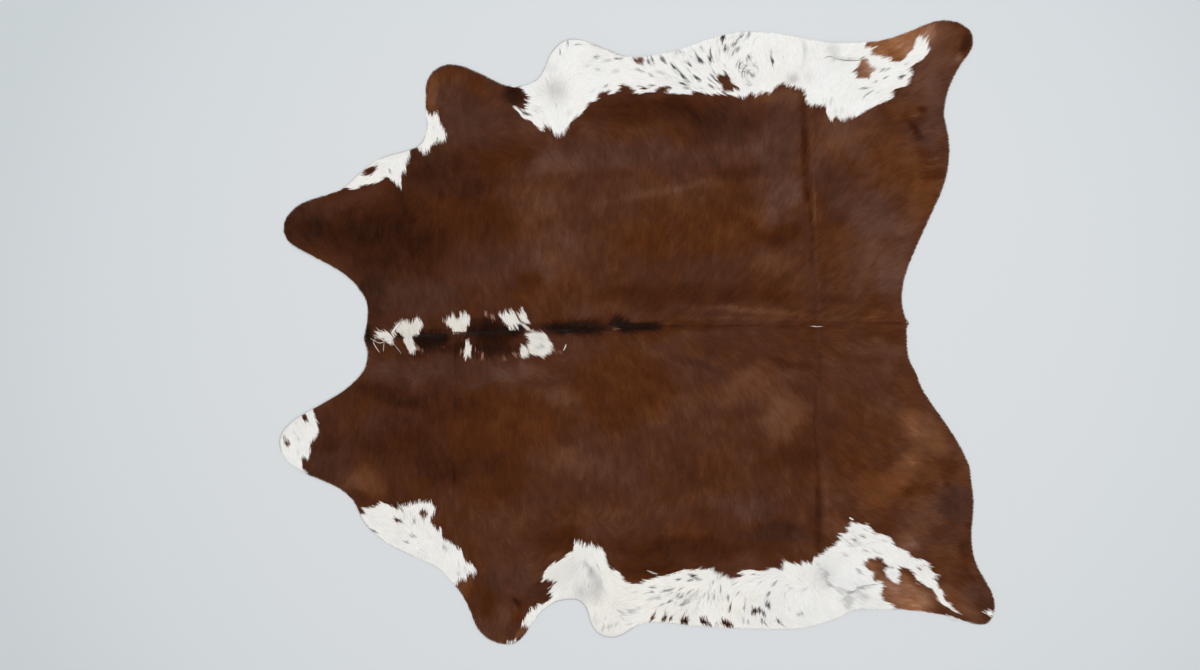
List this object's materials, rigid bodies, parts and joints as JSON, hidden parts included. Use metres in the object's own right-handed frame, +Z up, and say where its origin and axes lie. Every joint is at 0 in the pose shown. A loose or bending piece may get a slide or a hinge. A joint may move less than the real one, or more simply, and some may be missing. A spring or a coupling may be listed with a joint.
{
  "type": "cowhide rug",
  "caption": "Flat floor rug made of one whole hair-on hide, with short neck and leg ends and a soft fold along the back.",
  "frame": {"origin": "middle of the hide's length and width, on the floor under it", "axes": "+X from the neck towards the tail, +Y towards the animal's right flank, +Z up out of the coat"},
  "size_m": [2.288, 1.996, 0.0118],
  "materials": {
    "coat": "short lying hair, red-brown with white belly and leg patches, soft sheen along the hair",
    "hide": "pale chrome-tanned suede on the underside and along the cut edge"
  },
  "bodies": {
    "root": {"cowhide": "coat"}
  },
  "joints": []
}
